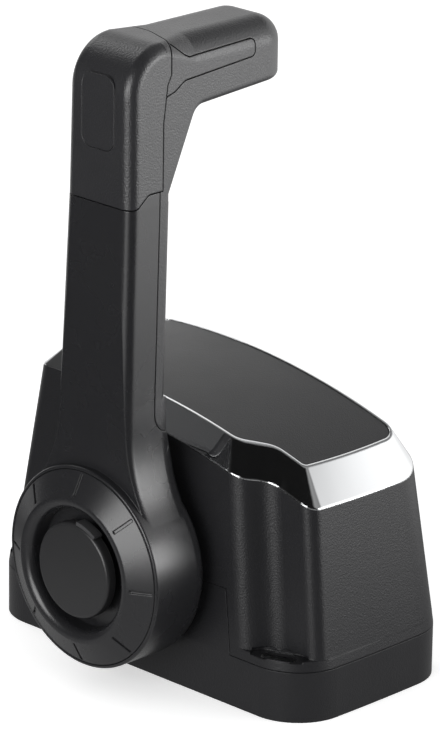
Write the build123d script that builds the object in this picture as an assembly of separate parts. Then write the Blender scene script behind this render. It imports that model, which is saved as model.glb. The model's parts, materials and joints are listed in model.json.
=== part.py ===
from build123d import *
import os
from math import acos, cos, pi, radians, sin, tan

# Boat throttle and gear control: a top-mount housing and a single side lever with a crossways grip.
# Frame: +X starboard, +Y forward, +Z up. The origin is the centre of the mounting face.
# The lever and its hub are on the port side, and turn about an axis along X. Sizes are in mm.

# Housing
base_half_w = 45.6
base_half_l = 88.5
end_bow = 1.1
base_corner_r = 22.0
base_h = 21.4
side_lean = 0.064
end_lean = 0.144
wall = 3.0
seam_gap = 0.3
lip_h = 3.0
lip_t = 2.0
shelf_z = 25.5
shelf_t = 2.5

# Corner scallops on the lever side, which give a screwdriver its way down
notch_depth = 11.5
notch_slant = 0.7
notch_length = 28.5
notch_run = 7.0
notch_ridge_r = 9.0
notch_valley_r = 11.0
notch_nose_r = 6.0

# Roof arcs, seen from the side: the foot of the bright band and the crown of the top panel
band_foot_r = 440.0
band_foot_apex = (58.5, 107.1)
crown_r = 329.0
crown_apex = (38.0, 116.0)
crown_side_inset = 11.7
crown_end_inset = 20.5
crown_half_w = round(base_half_w - crown_side_inset, 3)
crown_half_l = round(base_half_l - crown_end_inset, 3)
crown_corner_r = 10.0
crown_notch_length = 25.5
crown_notch_run = 10.5
crown_nose_r = 2.0
band_rim = 1.3
panel_gap = 0.25
panel_t = 2.6
panel_skirt_t = 2.0

# Mounting holes and the long pockets over them
bolt_side_inset = 6.6
bolt_end_inset = 16.5
bolt_x = base_half_w - bolt_side_inset
bolt_y = base_half_l - bolt_end_inset
bolt_hole_r = 2.75
boss_r = 5.4
boss_h = 17.5
pocket_len = 15.0
pocket_w = 8.8
pocket_turn = 22.0
dish_longer = 9.0
dish_wider = 1.0
dish_depth = 0.8
cover_screw_y = 30.0
lug_sink = 0.2
gasket_w = 1.6
gasket_depth = 1.5

# Raised tongue of the base behind the hub
tongue_top = 47.5
tongue_half_top = 46.9
tongue_half_foot = 51.3

# Hub, on the lever's axis
hub_z = 52.2
hub_r = 41.6
hub_front = -76.7
hub_rear = -47.0
hub_edge_r = 1.0
hub_rear_r = 7.5
shell_t = 2.6
ring_r = 40.0
ring_seat_gap = 0.3
ring_seat_depth = 3.2
ring_proud = 5.55
rim_outer_r = 29.8
rim_inner_r = 25.0
rim_crest_r = 1.0
rim_roll_r = 4.0
tick_count = 8
tick_inner_r = 31.0
tick_outer_r = 39.2
tick_w = 1.3
tick_depth = 0.8
back_plate_r = 32.0
back_post_r = 4.5
back_post_circle = 25.0
back_post_angles = (20.0, 160.0, 270.0)

# Button in the middle of the hub, its sleeve and spring, and the rod it pushes
button_r = 19.8
button_proud = 5.6
button_t = 4.4
button_wall = 1.5
button_edge_r = 1.5
button_travel = 4.0
button_well_r = 17.0
stem_r = 6.0
sleeve_t = 3.0
tab_angle = 110.0
tab_arc = 30.0
tab_t = 1.6
button_spring_r = 12.6
button_spring_wire = 0.8
button_spring_turns = 3.5
rod_r = 3.0

# Arm, elbow and grip
arm_front = -76.0
arm_rear = -53.8
arm_aft_low = -22.8
arm_aft_top = -24.6
arm_fore_low = 16.5
arm_fore_mid = 11.8
arm_fore_top = 10.1
arm_low_z = 124.0
arm_mid_z = 204.0
grip_top = 267.0
flare_r = 60.0
scoop_r = 135.0
scoop_depth = 2.4
flare_rear_r = 9.0
flare_lift = 0.7
elbow_r = 19.0
grip_end = 10.6
grip_end_r = 11.0
grip_top_r = 10.5
grip_blend_end = -41.0
grip_under_outer = 242.0
gusset_top = (-39.5, 239.0)
gusset_foot_z = 207.0
gusset_r = 6.0
rear_slope_head = 112.0
rear_slope_foot = 88.0
edge_r = 5.0
arm_edge_r = 4.8
rear_edge_r = 3.0
arm_rear_edge_r = 2.8
elbow_overlap = 0.3

# Seams that part the lever's covers
seam = 0.45
split_x = -60.4
split_low_z = 109.0
split_r = 9.0
zone_margin = 10.0
zone_rise = 20.0
elbow_split_x = -58.8
elbow_split_z = 236.0
elbow_split_mid = (-56.7, 251.0)
elbow_split_top_x = -48.2
elbow_split_aft_x = -54.8
elbow_split_plan_y = -6.0
elbow_seam_z = 204.5
elbow_seam_rise = 4.9
elbow_seam_step = (-72.5, -66.5)
elbow_seam_r = 4.0
strip_low = ((-52.6, 247.8), (-47.3, 251.2))
strip_high = ((-47.4, 260.9), (-44.7, 259.6))
strip_end_x = -9.0
strip_end_low = 253.9
strip_end_high = 260.6
strip_end_r = 2.0
strip_bend_r = 5.0

# Metal core inside the lever's covers, and the plug over its end screw
core_gap = 0.3
core_t = 11.4
core_half_w = 9.0
core_mid_y = -6.6
core_top = 258.0
core_grip_low = 246.0
core_grip_end = -5.0
core_boss_r = 12.0
plug_w = 17.5
plug_h = 29.4
plug_mid_z = 240.6
plug_corner_r = 5.0
plug_t = 1.6
plug_gap = 0.2
casing_screw_z = (135.0, 185.0)

# Shaft and what is fixed to it
shaft_r = 8.0
shaft_thread_r = 6.0
shaft_inner_end = 4.0
nut_r = 10.8
nut_t = 3.7
nut_face = -66.5
washer_t = 0.5
running_gap = 0.06
fit_gap = 0.05
clear = 0.3
bush_t = 2.5
boss_wall = 2.5
disc_x = -32.5
disc_t = 4.0
disc_r = 19.0
detent_step = 32.0
detent_depth = 1.2
ball_r = 3.0
key_hub_r = 11.0

# Mechanism frame: two plates on posts
plate_x = -37.5
plate_t = 3.0
plate_gap = 22.5
plate_half = 47.0
plate_low = 8.0
plate_high = 88.0
plate_corner_r = 8.0
foot_x = -26.0
foot_w = 10.0
foot_screw_x = -30.6
post_r = 3.5
post_side = (41.0, 82.0)
post_low_z = 13.0

# Gear train from the shaft to the shift and throttle arms
gear_module = 1.5
pressure_angle = 20.0
addendum = 0.95
dedendum = 1.25
drive_teeth = 16
sector_full_teeth = 32
sector_teeth = 10
sector_half_angle = 56.0
sector_hub_r = 7.0
gear_t = 6.0
gear_x = -25.0
backlash = 0.25
pivot_r = 4.0
pivot_head_r = 6.0
pivot_head_t = 1.4
arm_len = 38.0
arm_w = 10.0
cable_pin_r = 2.4
cable_pin_len = 6.0

# Detent, neutral switch and throttle friction
detent_block_half = 9.0
detent_block_t = 8.5
detent_block_low = 72.5
detent_block_high = 84.0
detent_screw_y = 6.2
detent_spring_r = 2.2
detent_spring_wire = 0.6
detent_spring_turns = 4.0
detent_plug_t = 2.0
switch_half = 7.0
switch_low = 18.0
switch_high = 31.0
switch_screw_z = 22.0
plunger_r = 1.5
plunger_travel = 0.8
friction_block_half = 11.0
friction_block_t = 10.0
friction_block_low = 38.0
friction_block_high = 76.0
friction_screw_places = ((-7.6, 42.0), (7.6, 42.0))
friction_r = 3.0
friction_pad_t = 4.8
friction_head_r = 4.5
friction_head_t = 3.0

# Screws and clips
screw_r = 2.0
screw_head_r = 3.6
screw_head_t = 2.2
clip_t = 1.0
clip_w = 2.6
clip_groove = 0.8

hub_axis = (0.0, hub_z)


def box(x0, x1, y0, y1, z0, z1):
    """A block between two corners."""
    middle = Pos((x0 + x1) / 2, (y0 + y1) / 2, (z0 + z1) / 2)
    return middle * Box(x1 - x0, y1 - y0, z1 - z0)


def rod_x(r, x0, x1, y=0.0, z=hub_z):
    """A round bar along X."""
    return Pos((x0 + x1) / 2, y, z) * Rot(0, 90, 0) * Cylinder(r, x1 - x0)


def rod_z(r, z0, z1, x, y):
    """A round bar along Z."""
    return Pos(x, y, (z0 + z1) / 2) * Cylinder(r, z1 - z0)


def tube_x(r_out, r_in, x0, x1, y=0.0, z=hub_z):
    """A round tube along X."""
    return rod_x(r_out, x0, x1, y, z) - rod_x(r_in, x0 - 1, x1 + 1, y, z)


def side_prism(sketch, x0, x1):
    """Extrude a (Y, Z) outline along X."""
    return extrude(Plane.YZ.offset(x0) * sketch, x1 - x0)


def front_prism(sketch, y0, y1):
    """Extrude an (X, Z) outline along Y."""
    return extrude(Plane.XZ.offset(-y1) * sketch, y1 - y0)


def round_corners(sketch, corners):
    """Round the sketch's corners nearest the given points: a list of (x, y, radius)."""
    for x, y, r in corners:
        nearest = sketch.vertices().sort_by_distance((x, y, 0))[0]
        sketch = fillet(nearest, r)
    return sketch


def half_w(z):
    """The housing's half width at a height."""
    return base_half_w - side_lean * max(z - base_h, 0)


def half_l(z):
    """The housing's half length at a height."""
    return base_half_l - end_lean * max(z - base_h, 0)


def plain_outline(w, l, corner_r):
    """The housing's plan with four round corners and slightly bowed ends."""
    edges = [
        Line((-w, l), (-w, -l)),
        ThreePointArc((-w, -l), (0, -l - end_bow), (w, -l)),
        Line((w, -l), (w, l)),
        ThreePointArc((w, l), (0, l + end_bow), (-w, l)),
    ]
    corners = [(x, y, corner_r) for x in (-w, w) for y in (-l, l)]
    return round_corners(make_face(Curve() + edges), corners)


def notched_outline(w, l, corner_r, length=notch_length, run=notch_run, nose_r=notch_nose_r):
    """The housing's plan with an S-shaped scallop at both lever-side corners."""
    ridge = (-w, l - length)
    valley = (-w + notch_depth - notch_slant, l - length + run)
    nose = (-w + notch_depth, l)
    middle = (nose[0] + w) / 2
    edges = [
        Polyline((nose[0], nose[1]), valley, ridge, (ridge[0], -ridge[1]), (valley[0], -valley[1]),
                 (nose[0], -nose[1])),
        ThreePointArc((nose[0], -l), (middle, -l - end_bow), (w, -l)),
        Line((w, -l), (w, l)),
        ThreePointArc((w, l), (middle, l + end_bow), (nose[0], l)),
    ]
    corners = []
    for side in (1, -1):
        corners.append((ridge[0], side * ridge[1], notch_ridge_r * length / notch_length))
        corners.append((valley[0], side * valley[1], notch_valley_r * length / notch_length))
        corners.append((nose[0], side * nose[1], nose_r))
        corners.append((w, side * l, corner_r))
    return round_corners(make_face(Curve() + edges), corners)


def under_arc(radius, apex, drop=0.0):
    """Everything below a roof arc, as a solid that is wider than the housing."""
    disc = Pos(apex[0], apex[1] - radius - drop) * Circle(radius)
    window = Pos(0, apex[1]) * Rectangle(6 * base_half_w, 3 * apex[1])
    return side_prism(disc & window, -1.5 * base_half_w, 1.5 * base_half_w)


def tower(inset, low, notched=True):
    """The leaning walls of the housing as a tall solid, inset by a wall thickness."""
    high = crown_apex[1] + 10
    outline = notched_outline if notched else plain_outline
    corner_r = base_corner_r - inset
    sections = []
    for z in (low, high):
        sections.append(Pos(0, 0, z) * outline(half_w(z) - inset, half_l(z) - inset, corner_r))
    return loft(sections, ruled=True)


def straight_block(inset, z0, z1):
    """The base's upright outline between two heights."""
    outline = plain_outline(base_half_w - inset, base_half_l - inset, base_corner_r - inset)
    return extrude(Pos(0, 0, z0) * outline, z1 - z0)


def tongue_prism(grow=0.0):
    """The stretch of the lever-side wall that belongs to the base."""
    outline = make_face(Polyline(
        (-tongue_half_foot - grow, base_h - lip_h), (-tongue_half_foot - grow, base_h),
        (-tongue_half_top - grow, tongue_top + grow), (tongue_half_top + grow, tongue_top + grow),
        (tongue_half_foot + grow, base_h), (tongue_half_foot + grow, base_h - lip_h), close=True))
    return side_prism(outline, -base_half_w - 1, -half_w(tongue_top) + wall + seam_gap)


def shaft_boss_r():
    """Outer radius of the bearing boss that comes through the wall."""
    return shaft_r + running_gap + bush_t + boss_wall


def wall_hole():
    """The round hole in the lever-side wall around the bearing boss."""
    return rod_x(shaft_boss_r() + clear, -base_half_w - 1, -base_half_w + 3 * wall)


def cover_block():
    """The main cover before it is hollowed: a full foot, a shelf, and scalloped walls above."""
    foot = loft([
        Pos(0, 0, base_h) * plain_outline(base_half_w, base_half_l, base_corner_r),
        Pos(0, 0, shelf_z) * plain_outline(half_w(shelf_z), half_l(shelf_z), base_corner_r),
    ], ruled=True)
    return foot + tower(0, shelf_z)


def cover_cavity():
    """The hollow inside the main cover."""
    upper = tower(wall, shelf_z - shelf_t) & under_arc(band_foot_r, band_foot_apex, wall)
    return upper + straight_block(wall, base_h - 1, shelf_z - shelf_t)


def pocket(z0, z1, longer=0.0, wider=0.0):
    """The two long screw pockets in the scallops' shelves, or the dish round each of them."""
    slot = SlotOverall(pocket_len + longer, pocket_w + wider)
    aft = Pos(-bolt_x, -bolt_y, z0) * Rot(0, 0, -90 + pocket_turn) * extrude(slot, z1 - z0)
    fore = Pos(-bolt_x, bolt_y, z0) * Rot(0, 0, 90 - pocket_turn) * extrude(slot, z1 - z0)
    return aft + fore


def bolt_places():
    """The four mounting holes."""
    return [(x, y) for x in (-bolt_x, bolt_x) for y in (-bolt_y, bolt_y)]


def plate_foot_places():
    """Fore-and-aft places of the feet that carry the mechanism."""
    return [-plate_half + foot_w / 2, plate_half - foot_w / 2]


def cover_screw_places():
    """The screws that hold the cover down, clear of the mounting holes."""
    x = base_half_w - wall - screw_head_r + lug_sink
    y = base_half_l - wall - screw_head_r + lug_sink
    return [(x, cover_screw_y), (x, -cover_screw_y), (0.0, y), (0.0, -y)]


def make_base_skirt():
    """Lower housing: upright skirt, raised tongue, locating lip, mounting and plate bosses."""
    top = base_h - seam_gap
    skirt = straight_block(0, 0, top) - straight_block(wall, -1, top + 1)
    lip = straight_block(wall - 0.5, top - 2 * lip_h, top)
    lip += straight_block(wall + clear / 3, top - lip_h, top + lip_h / 2)
    lip -= straight_block(wall + lip_t, 0, base_h + lip_h)
    wall_top = straight_block(0, top - 1, base_h) - straight_block(wall, top - 2, base_h + 1)
    tongue = ((cover_block() - cover_cavity()) + wall_top) & tongue_prism()
    body = skirt + lip + tongue
    for x, y in bolt_places():
        body += rod_z(boss_r, 0, boss_h, x, y)
    for x, y in cover_screw_places():
        body += rod_z(screw_head_r, 4 * screw_head_t, top + lip_h / 2, x, y)
    for y in plate_foot_places():
        body += box(-base_half_w + wall / 2, foot_x, y - foot_w / 2, y + foot_w / 2, 0, plate_low)
    body &= straight_block(0, 0, base_h + wall) + tongue_prism()
    body -= wall_hole()
    for x, y in bolt_places():
        body -= rod_z(bolt_hole_r, -1, boss_h + 1, x, y)
        body -= rod_z(pocket_w / 2, boss_h, base_h + wall, x, y)
    for x, y in cover_screw_places():
        body -= rod_z(screw_r + fit_gap, 0, base_h + wall, x, y)
    for y in plate_foot_places():
        body -= rod_z(screw_r + fit_gap, shell_t, plate_low + 1, foot_screw_x, y)
    groove = straight_block(wall / 2 - gasket_w / 2, -1, gasket_depth)
    groove -= straight_block(wall / 2 + gasket_w / 2, -2, gasket_depth + 1)
    return body - groove


def make_base_gasket():
    """Foam cord in the groove under the skirt's rim, flush with the mounting face."""
    ring = straight_block(wall / 2 - gasket_w / 2, 0, gasket_depth)
    return ring - straight_block(wall / 2 + gasket_w / 2, -1, gasket_depth + 1)


def make_main_cover():
    """Upper housing: leaning scalloped walls, closed roof, and a hole for the bearing boss."""
    cover = (cover_block() & under_arc(band_foot_r, band_foot_apex)) - cover_cavity()
    for x, y in cover_screw_places():
        cover += rod_z(screw_head_r, base_h + lip_h / 2, 2 * base_h, x, y)
    cover -= tongue_prism(seam_gap)
    cover -= wall_hole()
    cover -= pocket(shelf_z - 2 * shelf_t, shelf_z + 1)
    cover -= pocket(shelf_z - dish_depth, shelf_z + 1, dish_longer, dish_wider)
    for x, y in cover_screw_places():
        cover -= rod_z(screw_r + fit_gap, base_h, 2 * base_h - wall, x, y)
    return cover


def make_cover_screws():
    """Screws driven up through the base's lugs into the cover."""
    screws = []
    for x, y in cover_screw_places():
        low = 4 * screw_head_t - screw_head_t
        screws.append(rod_z(screw_head_r - 0.4, low, low + screw_head_t, x, y)
                      + rod_z(screw_r, low, 2 * base_h - 2 * wall, x, y))
    return screws


def top_face(solid):
    """The face of a solid that lies highest."""
    return solid.faces().sort_by(Axis.Z)[-1]


def band_solid():
    """The bright band's outer form: ruled from the cover's roof edge up to the crown's edge."""
    roof = tower(0, shelf_z) & under_arc(band_foot_r, band_foot_apex)
    crown = notched_outline(crown_half_w, crown_half_l, crown_corner_r,
                            crown_notch_length, crown_notch_run, crown_nose_r)
    peak = extrude(Pos(0, 0, shelf_z) * crown, crown_apex[1]) & under_arc(crown_r, crown_apex)
    return loft([top_face(roof), top_face(peak)], ruled=True)


def make_bezel_trim():
    """Bright band between the cover and the top panel, with a thin rim round the panel."""
    well = notched_outline(crown_half_w - band_rim, crown_half_l - band_rim, crown_corner_r - band_rim,
                           crown_notch_length, crown_notch_run, crown_nose_r)
    return band_solid() - extrude(Pos(0, 0, shelf_z) * well, crown_apex[1])


def panel_outline(inset):
    """The top panel's plan, inside the bright band's rim."""
    step = band_rim + panel_gap + inset
    return notched_outline(crown_half_w - step, crown_half_l - step, crown_corner_r - step,
                           crown_notch_length, crown_notch_run, crown_nose_r)


def make_top_panel():
    """Crowned lid that fills the band, on a skirt that stands on the cover's roof."""
    full = extrude(Pos(0, 0, shelf_z) * panel_outline(0), crown_apex[1])
    core = extrude(Pos(0, 0, shelf_z) * panel_outline(panel_skirt_t), crown_apex[1])
    lid = full & under_arc(crown_r, crown_apex, panel_gap)
    lid -= under_arc(band_foot_r, band_foot_apex)
    return lid - (core & under_arc(crown_r, crown_apex, panel_t))


def hub_outline():
    """The lever's foot seen from the side, in (Y, Z): the round hub flaring into the arm."""
    fore_foot = arm_fore_low + 1.5
    arm = make_face(Polyline(
        (arm_aft_low, hub_z), (arm_aft_low, arm_low_z), (arm_fore_low, arm_low_z), (fore_foot, hub_z),
        close=True))
    shape = Pos(*hub_axis) * Circle(hub_r) + arm
    corners = []
    for y in (arm_aft_low, fore_foot):
        corners.append((y, hub_z + (hub_r ** 2 - y ** 2) ** 0.5, flare_r))
    return round_corners(shape, corners)


def flare_foot_z():
    """Height just above the place where the aft flare leaves the hub's circle."""
    rise = ((hub_r + flare_r) ** 2 - (flare_r - arm_aft_low) ** 2) ** 0.5
    return hub_z + rise * hub_r / (hub_r + flare_r) + flare_lift


def scoop(deeper=0.0):
    """The shallow dish that the arm's port face sinks into towards the hub, or one further in."""
    face = arm_front + deeper
    inner = hub_z + hub_r - 2 * hub_edge_r
    outer = hub_z + scoop_r
    floor = face + scoop_depth
    edges = [
        TangentArc((face, outer), (floor, hub_z + hub_r), tangent=(0, -1)),
        Polyline((floor, hub_z + hub_r), (floor, inner), (hub_front - 1, inner), (hub_front - 1, outer),
                 (face, outer)),
    ]
    return revolve(Plane.XZ * make_face(Curve() + edges), Axis((0, 0, hub_z), (1, 0, 0)))


def foot_form():
    """The hub drum with its turned edges, flaring into the foot of the arm."""
    flare = side_prism(hub_outline(), arm_front, hub_rear)
    flare = fillet(flare.edges().filter_by(
        lambda e: abs((e @ 0.5).X - arm_front) < 0.01 and (e @ 0.5).Z < arm_low_z - 0.1), edge_r)
    flare = fillet(flare.edges().filter_by(
        lambda e: abs((e @ 0.5).X - hub_rear) < 0.01 and (e @ 0.5).Z < arm_low_z - 0.1), flare_rear_r)
    slope = make_face(Polyline(
        (arm_rear, arm_low_z + 1), (arm_rear, rear_slope_head), (hub_rear, rear_slope_foot),
        (hub_rear + 1, rear_slope_foot), (hub_rear + 1, arm_low_z + 1), close=True))
    flare -= front_prism(slope, -hub_r, hub_r)
    flare &= box(arm_front - 1, hub_rear + 1, -hub_r, hub_r, flare_foot_z(), arm_low_z)
    flare -= scoop()
    drum = rod_x(hub_r, hub_front, hub_rear)
    drum = fillet(drum.edges().filter_by(lambda e: abs((e @ 0.5).X - hub_rear) < 0.01), hub_rear_r)
    drum = fillet(drum.edges().filter_by(lambda e: abs((e @ 0.5).X - hub_front) < 0.01), hub_edge_r)
    return flare + drum


def arm_section(z, aft, fore):
    """A cross-section of the arm, rounder in front than behind."""
    outline = make_face(Polyline(
        (arm_front, aft), (arm_front, fore), (arm_rear, fore), (arm_rear, aft), close=True))
    corners = [(arm_front, y, arm_edge_r) for y in (aft, fore)]
    corners += [(arm_rear, y, arm_rear_edge_r) for y in (aft, fore)]
    outline = round_corners(outline, corners)
    return Pos(0, 0, z) * outline


def arm_form():
    """The tapered arm between the flare and the elbow."""
    return loft([arm_section(arm_low_z, arm_aft_low, arm_fore_low),
                 arm_section(arm_mid_z, arm_aft_top, arm_fore_mid)], ruled=True) - scoop()


def elbow_outline(inset=0.0):
    """The elbow, gusset and grip seen from astern, in (X, Z)."""
    outline = make_face(Polyline(
        (arm_front, arm_mid_z), (arm_front, grip_top), (grip_end, grip_top),
        (grip_end, grip_under_outer), gusset_top, (arm_rear, gusset_foot_z), (arm_rear, arm_mid_z),
        close=True))
    outline = round_corners(outline, [(arm_front, grip_top, elbow_r), (*gusset_top, gusset_r)])
    return offset(outline, -inset) if inset else outline


def grip_profile():
    """The grip seen from its end, in (Y, Z), down to the elbow's foot."""
    return make_face(Polyline(
        (arm_aft_top, arm_mid_z), (arm_aft_top, grip_top), (arm_fore_top, grip_top),
        (arm_fore_mid, arm_mid_z), close=True))


def rounded_profile(x, r):
    """The grip's profile at a place along it, with both top edges rounded."""
    corners = [(arm_aft_top, grip_top, r), (arm_fore_top, grip_top, r)]
    return Plane.YZ.offset(x) * round_corners(grip_profile(), corners)


def elbow_form():
    """The elbow, up to just past the end of its arc, with its outer edges rounded."""
    end = arm_front + elbow_r + elbow_overlap
    form = front_prism(elbow_outline(), arm_aft_top - 1, arm_fore_mid + 1)
    form &= side_prism(grip_profile(), arm_front - 1, end)
    outer = form.edges().filter_by(
        lambda e: abs((e @ 0).Y - (e @ 1).Y) < (arm_fore_top - arm_aft_top) / 2
        and (e @ 0.5).X < end - elbow_overlap / 4 and (e @ 0.5).Z > arm_mid_z + 1)
    return fillet(outer, edge_r)


def grip_form():
    """The crossways grip: rounder above than the elbow, with a gusset under its root."""
    blend_start = arm_front + elbow_r
    bar = side_prism(grip_profile(), grip_blend_end, grip_end)
    upright = bar.edges().filter_by(
        lambda e: (e @ 0.5).X > grip_end - 0.1 and abs((e @ 0).Z - (e @ 1).Z) > 5)
    bar = fillet(upright, grip_end_r)
    over = bar.edges().filter_by(
        lambda e: min((e @ 0).Z, (e @ 1).Z) > grip_top - 0.1 and (e @ 0.5).X > grip_blend_end + 1)
    bar = fillet(over, grip_top_r)
    bar += loft([rounded_profile(blend_start, arm_edge_r), rounded_profile(grip_blend_end, grip_top_r)],
                ruled=True)
    below = make_face(Polyline(
        (arm_rear, arm_mid_z - 1), (arm_rear, gusset_foot_z), gusset_top, (grip_end, grip_under_outer),
        (grip_end + 1, grip_under_outer), (grip_end + 1, arm_mid_z - 1), close=True))
    below = round_corners(below, [(*gusset_top, gusset_r)])
    bar -= front_prism(below, arm_aft_top - 1, arm_fore_mid + 1)
    under = bar.edges().filter_by(
        lambda e: (e @ 0.5).X > arm_rear - 0.1 and arm_mid_z + 1 < (e @ 0.5).Z < grip_under_outer + 1)
    under = under.filter_by(
        lambda e: abs((e @ 0).Y - (e @ 1).Y) < (arm_fore_top - arm_aft_top) / 2 or (e @ 0.5).X > 0)
    return fillet(under, rear_edge_r)


def lever_hollow():
    """The room inside the lever's covers: the outer views crossed, a wall's thickness in."""
    ceiling = grip_top - shell_t
    room = side_prism(offset(hub_outline(), -shell_t), hub_front + ring_seat_depth + shell_t,
                      hub_rear - shell_t)
    arm = make_face(Polyline(
        (arm_aft_low + shell_t, hub_z), (arm_aft_low + shell_t, arm_low_z),
        (arm_aft_top + shell_t, arm_mid_z), (arm_aft_top + shell_t, ceiling),
        (arm_fore_top - shell_t, ceiling), (arm_fore_mid - shell_t, arm_mid_z),
        (arm_fore_low - shell_t, arm_low_z), (arm_fore_low - shell_t, hub_z), close=True))
    arm = round_corners(arm, [(arm_aft_top + shell_t, ceiling, grip_top_r - shell_t),
                              (arm_fore_top - shell_t, ceiling, grip_top_r - shell_t)])
    rear = arm_rear - shell_t
    stem = make_face(Polyline(
        (arm_front + shell_t, hub_z + ring_r + 2 * shell_t), (arm_front + shell_t, gusset_foot_z + shell_t),
        (rear, gusset_foot_z + shell_t), (rear, rear_slope_head), (hub_rear - shell_t, rear_slope_foot),
        (hub_rear - shell_t, hub_z), (hub_front + ring_seat_depth + shell_t, hub_z),
        (hub_front + ring_seat_depth + shell_t, hub_z + ring_r + 2 * shell_t), close=True))
    wide = 2 * hub_r
    upper = side_prism(arm, hub_front, grip_end - shell_t) & front_prism(
        stem + elbow_outline(shell_t), -wide, wide)
    upper -= scoop(shell_t)
    slope = make_face(Polyline(
        (rear, rear_slope_head), (hub_rear - shell_t, rear_slope_foot), (hub_rear + 1, rear_slope_foot),
        (hub_rear + 1, arm_low_z), (rear, arm_low_z), close=True))
    room -= front_prism(slope, -wide, wide)
    room &= box(hub_front, hub_rear, -wide, wide, 0, arm_low_z - 2 * shell_t)
    return room + upper


def elbow_zone(grow=0.0):
    """The elbow cover's share of the lever: its outline seen from astern, crossed with its plan."""
    far = arm_front - 10
    high = grip_top + 5
    seam_high = elbow_seam_z + elbow_seam_rise
    outline = make_face(Polyline(
        (far, elbow_seam_z), (elbow_seam_step[0], elbow_seam_z), (elbow_seam_step[1], seam_high),
        (elbow_split_x, seam_high), (elbow_split_x, elbow_split_z), elbow_split_mid,
        (elbow_split_top_x, grip_top), (elbow_split_top_x, high), (far, high), close=True))
    outline = round_corners(outline, [(elbow_seam_step[0], elbow_seam_z, elbow_seam_r),
                                      (elbow_seam_step[1], seam_high, elbow_seam_r)])
    wide = 2 * hub_r
    plan = make_face(Polyline(
        (far, -wide), (elbow_split_aft_x, -wide), (elbow_split_aft_x, arm_aft_top),
        (elbow_split_top_x, elbow_split_plan_y), (elbow_split_top_x, wide), (far, wide), close=True))
    plan = round_corners(plan, [(elbow_split_top_x, elbow_split_plan_y, 4 * elbow_seam_r)])
    if grow:
        outline = offset(outline, grow)
        plan = offset(plan, grow)
    return front_prism(outline, -wide, wide) & extrude(Pos(0, 0, elbow_seam_z - wide) * plan, 2 * wide)


def strip_zone(grow=0.0):
    """The strip let into the grip's aft face, from the elbow cover to near the grip's end."""
    outline = make_face(Polyline(
        (elbow_split_x - shell_t, strip_low[0][1] - shell_t), *strip_low, (strip_end_x, strip_end_low),
        (strip_end_x, strip_end_high), strip_high[1], strip_high[0], (elbow_split_aft_x, grip_top),
        (elbow_split_x - shell_t, grip_top), close=True))
    outline = round_corners(outline, [
        (strip_end_x, strip_end_low, strip_end_r), (strip_end_x, strip_end_high, strip_end_r),
        (*strip_low[1], strip_bend_r)])
    outline = offset(outline, grow) if grow else outline
    return front_prism(outline, arm_aft_top - 1, arm_aft_top + shell_t + grow)


def shell_zone(grow=0.0):
    """The outer shell's share of the lever, seen from astern: the port side and the whole drum."""
    far = arm_front - zone_margin
    near = hub_rear + zone_margin
    top = arm_mid_z + zone_rise
    outline = make_face(Polyline(
        (far, -hub_r), (far, top), (split_x, top), (split_x, split_low_z), (near, split_low_z), (near, -hub_r),
        close=True))
    outline = round_corners(outline, [(split_x, split_low_z, split_r)])
    return front_prism(offset(outline, grow) if grow else outline, -2 * hub_r, 2 * hub_r)


def about_hub(shape, angle):
    """Turn a shape about the lever's axis."""
    return Pos(0, 0, hub_z) * Rot(angle, 0, 0) * Pos(0, 0, -hub_z) * shape


def countersunk(face_x, inward, length, y, z, gap=0.0):
    """A countersunk screw along X with its head flush in a face, or with a gap the hole for it."""
    ends = sorted((face_x, face_x + inward * (length + gap)))
    big = screw_head_r + gap
    small = screw_r + gap
    radii = (big, small) if inward > 0 else (small, big)
    head = Pos(face_x + inward * screw_head_t / 2, y, z) * Rot(0, 90, 0) * Cone(*radii, screw_head_t)
    return rod_x(small, ends[0], ends[1], y, z) + head


def back_post_places():
    """Places (y, z) of the posts that the hub's back plate is screwed to."""
    places = []
    for angle in back_post_angles:
        turn = radians(angle)
        places.append((back_post_circle * cos(turn), hub_z + back_post_circle * sin(turn)))
    return places


def core_rear():
    """The core's face towards the rear strip."""
    return arm_rear - shell_t - core_gap


def plug_floor():
    """The bottom of the recess for the blank plug."""
    return arm_front + plug_t


def lever_screws(gap=0.0):
    """Screws through the rear strip, the hub's back plate and the elbow, or the holes for them."""
    screws = [countersunk(arm_rear, -1, core_t + 2 * shell_t, core_mid_y, z, gap) for z in casing_screw_z]
    screws += [countersunk(hub_rear, -1, 5 * shell_t, y, z, gap) for y, z in back_post_places()]
    screws.append(countersunk(plug_floor() + fit_gap, 1, core_t + shell_t, core_mid_y, plug_mid_z, gap))
    return screws


def drill(part, holes):
    """Cut a list of holes out of a part."""
    for hole in holes:
        part -= hole
    return part


def lever_walls():
    """The lever's covers before they are parted: the outer form, hollowed, with its bosses."""
    floor_x = hub_front + ring_seat_depth
    form = foot_form() + arm_form() + elbow_form() + grip_form()
    walls = form - lever_hollow()
    for y, z in back_post_places():
        walls += rod_x(back_post_r, floor_x, hub_rear - shell_t - fit_gap, y, z)
    core_front = core_rear() - core_t
    for z in casing_screw_z:
        walls += rod_x(back_post_r, arm_front + shell_t / 2, core_front - core_gap, core_mid_y, z)
    walls += rod_x(screw_head_r + shell_t, plug_floor(), core_front - core_gap, core_mid_y, plug_mid_z)
    walls -= rod_x(ring_r + ring_seat_gap, hub_front - 1, floor_x)
    walls -= rod_x(stem_r + running_gap + sleeve_t + fit_gap, floor_x - 1, floor_x + 2 * shell_t)
    walls -= rod_x(back_plate_r + clear, hub_rear - shell_t, hub_rear + 1)
    return drill(walls, lever_screws(fit_gap))


def blank_recess():
    """The shallow recess in the elbow's port face."""
    middle = Pos(core_mid_y, plug_mid_z)
    return side_prism(middle * RectangleRounded(plug_w + 2 * plug_gap, plug_h + 2 * plug_gap, plug_corner_r),
                      arm_front - 1, plug_floor())


def make_lever_outer_shell(walls):
    """Port half of the lever's covers, with the whole drum."""
    return (walls & shell_zone()) - elbow_zone(seam)


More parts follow.
